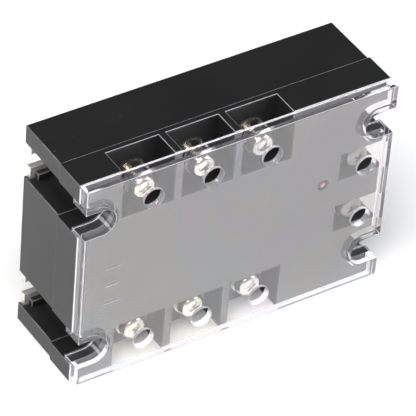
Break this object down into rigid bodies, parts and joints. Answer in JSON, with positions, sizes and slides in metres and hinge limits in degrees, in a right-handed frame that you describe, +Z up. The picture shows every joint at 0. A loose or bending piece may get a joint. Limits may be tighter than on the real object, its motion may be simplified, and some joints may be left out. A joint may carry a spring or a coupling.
{
  "type": "solid state relay",
  "caption": "Three-phase panel-mount solid state relay: black housing on a metal base, screw terminals in open bays, clear lift-off terminal cover, mounting slots at both ends.",
  "frame": {"origin": "centre of the mounting face, the back of the base plate", "axes": "+X along the long side towards the control input, +Y into the panel, +Z up with the line terminals uppermost"},
  "size_m": [0.104, 0.0345, 0.0734],
  "materials": {
    "case_black": "fine moulded texture",
    "clear_polycarbonate": "polished",
    "base_metal": "satin",
    "screw_nickel": "bright nickel plate",
    "post_nickel": "nickel plate",
    "substrate_ceramic": "matt",
    "silicon": "polished",
    "copper": "bright",
    "board_green": "solder mask",
    "component_black": "moulded",
    "resistor_body": "lacquered",
    "capacitor_film": "moulded",
    "lamp_red": "tinted clear",
    "gel": "soft"
  },
  "bodies": {
    "root": {"base_plate": "base_metal", "rear_case": "case_black", "front_case": "case_black", "line_terminal_1": "post_nickel", "line_terminal_2": "post_nickel", "line_terminal_3": "post_nickel", "load_terminal_1": "post_nickel", "load_terminal_2": "post_nickel", "load_terminal_3": "post_nickel", "input_terminal_1": "post_nickel", "input_terminal_2": "post_nickel", "power_substrate_1": "substrate_ceramic", "thyristors_1": "silicon", "chip_clips_1": "copper", "opto_driver_1": "component_black", "snubber_resistor_1": "resistor_body", "snubber_capacitor_1": "capacitor_film", "power_substrate_2": "substrate_ceramic", "thyristors_2": "silicon", "chip_clips_2": "copper", "opto_driver_2": "component_black", "snubber_resistor_2": "resistor_body", "snubber_capacitor_2": "capacitor_film", "power_substrate_3": "substrate_ceramic", "thyristors_3": "silicon", "chip_clips_3": "copper", "opto_driver_3": "component_black", "snubber_resistor_3": "resistor_body", "snubber_capacitor_3": "capacitor_film", "gate_pins": "copper", "control_board": "board_green", "input_regulator": "component_black", "status_led": "lamp_red", "potting_gel": "gel"},
    "cover": {"clear_cover": "clear_polycarbonate"},
    "line_washers_1": {"line_flat_washer_1": "screw_nickel", "line_lock_washer_1": "screw_nickel"},
    "line_screw_1": {"line_screw_1": "screw_nickel"},
    "line_washers_2": {"line_flat_washer_2": "screw_nickel", "line_lock_washer_2": "screw_nickel"},
    "line_screw_2": {"line_screw_2": "screw_nickel"},
    "line_washers_3": {"line_flat_washer_3": "screw_nickel", "line_lock_washer_3": "screw_nickel"},
    "line_screw_3": {"line_screw_3": "screw_nickel"},
    "load_washers_1": {"load_flat_washer_1": "screw_nickel", "load_lock_washer_1": "screw_nickel"},
    "load_screw_1": {"load_screw_1": "screw_nickel"},
    "load_washers_2": {"load_flat_washer_2": "screw_nickel", "load_lock_washer_2": "screw_nickel"},
    "load_screw_2": {"load_screw_2": "screw_nickel"},
    "load_washers_3": {"load_flat_washer_3": "screw_nickel", "load_lock_washer_3": "screw_nickel"},
    "load_screw_3": {"load_screw_3": "screw_nickel"},
    "input_washers_1": {"input_flat_washer_1": "screw_nickel", "input_lock_washer_1": "screw_nickel"},
    "input_screw_1": {"input_screw_1": "screw_nickel"},
    "input_washers_2": {"input_flat_washer_2": "screw_nickel", "input_lock_washer_2": "screw_nickel"},
    "input_screw_2": {"input_screw_2": "screw_nickel"}
  },
  "joints": [
    {"name": "cover_pull", "type": "slide", "parent": "root", "child": "cover", "axis": [0, -1, 0], "range_m": [0, 0.03]},
    {"name": "line_rise_1", "type": "slide", "parent": "root", "child": "line_washers_1", "axis": [0, -1, 0], "range_m": [-0.0021, 0.0021]},
    {"name": "line_turn_1", "type": "hinge", "parent": "line_washers_1", "child": "line_screw_1", "pos_m": [-0.0297, 0, 0.0264], "axis": [0, -1, 0], "range_deg": [-1085, 1085]},
    {"name": "line_rise_2", "type": "slide", "parent": "root", "child": "line_washers_2", "axis": [0, -1, 0], "range_m": [-0.0021, 0.0021]},
    {"name": "line_turn_2", "type": "hinge", "parent": "line_washers_2", "child": "line_screw_2", "pos_m": [-0.0099, 0, 0.0264], "axis": [0, -1, 0], "range_deg": [-1085, 1085]},
    {"name": "line_rise_3", "type": "slide", "parent": "root", "child": "line_washers_3", "axis": [0, -1, 0], "range_m": [-0.0021, 0.0021]},
    {"name": "line_turn_3", "type": "hinge", "parent": "line_washers_3", "child": "line_screw_3", "pos_m": [0.0099, 0, 0.0264], "axis": [0, -1, 0], "range_deg": [-1085, 1085]},
    {"name": "load_rise_1", "type": "slide", "parent": "root", "child": "load_washers_1", "axis": [0, -1, 0], "range_m": [-0.0021, 0.0021]},
    {"name": "load_turn_1", "type": "hinge", "parent": "load_washers_1", "child": "load_screw_1", "pos_m": [-0.0297, 0, -0.0264], "axis": [0, -1, 0], "range_deg": [-1085, 1085]},
    {"name": "load_rise_2", "type": "slide", "parent": "root", "child": "load_washers_2", "axis": [0, -1, 0], "range_m": [-0.0021, 0.0021]},
    {"name": "load_turn_2", "type": "hinge", "parent": "load_washers_2", "child": "load_screw_2", "pos_m": [-0.0099, 0, -0.0264], "axis": [0, -1, 0], "range_deg": [-1085, 1085]},
    {"name": "load_rise_3", "type": "slide", "parent": "root", "child": "load_washers_3", "axis": [0, -1, 0], "range_m": [-0.0021, 0.0021]},
    {"name": "load_turn_3", "type": "hinge", "parent": "load_washers_3", "child": "load_screw_3", "pos_m": [0.0099, 0, -0.0264], "axis": [0, -1, 0], "range_deg": [-1085, 1085]},
    {"name": "input_rise_1", "type": "slide", "parent": "root", "child": "input_washers_1", "axis": [0, -1, 0], "range_m": [-0.0021, 0.0021]},
    {"name": "input_turn_1", "type": "hinge", "parent": "input_washers_1", "child": "input_screw_1", "pos_m": [0.0438, 0, 0.0098], "axis": [0, -1, 0], "range_deg": [-1085, 1085]},
    {"name": "input_rise_2", "type": "slide", "parent": "root", "child": "input_washers_2", "axis": [0, -1, 0], "range_m": [-0.0021, 0.0021]},
    {"name": "input_turn_2", "type": "hinge", "parent": "input_washers_2", "child": "input_screw_2", "pos_m": [0.0438, 0, -0.0098], "axis": [0, -1, 0], "range_deg": [-1085, 1085]}
  ],
  "couplings": [
    {"joint": "line_turn_1", "follows": "line_rise_1", "rad_per_m": 8976},
    {"joint": "line_turn_2", "follows": "line_rise_2", "rad_per_m": 8976},
    {"joint": "line_turn_3", "follows": "line_rise_3", "rad_per_m": 8976},
    {"joint": "load_turn_1", "follows": "load_rise_1", "rad_per_m": 8976},
    {"joint": "load_turn_2", "follows": "load_rise_2", "rad_per_m": 8976},
    {"joint": "load_turn_3", "follows": "load_rise_3", "rad_per_m": 8976},
    {"joint": "input_turn_1", "follows": "input_rise_1", "rad_per_m": 8976},
    {"joint": "input_turn_2", "follows": "input_rise_2", "rad_per_m": 8976}
  ]
}
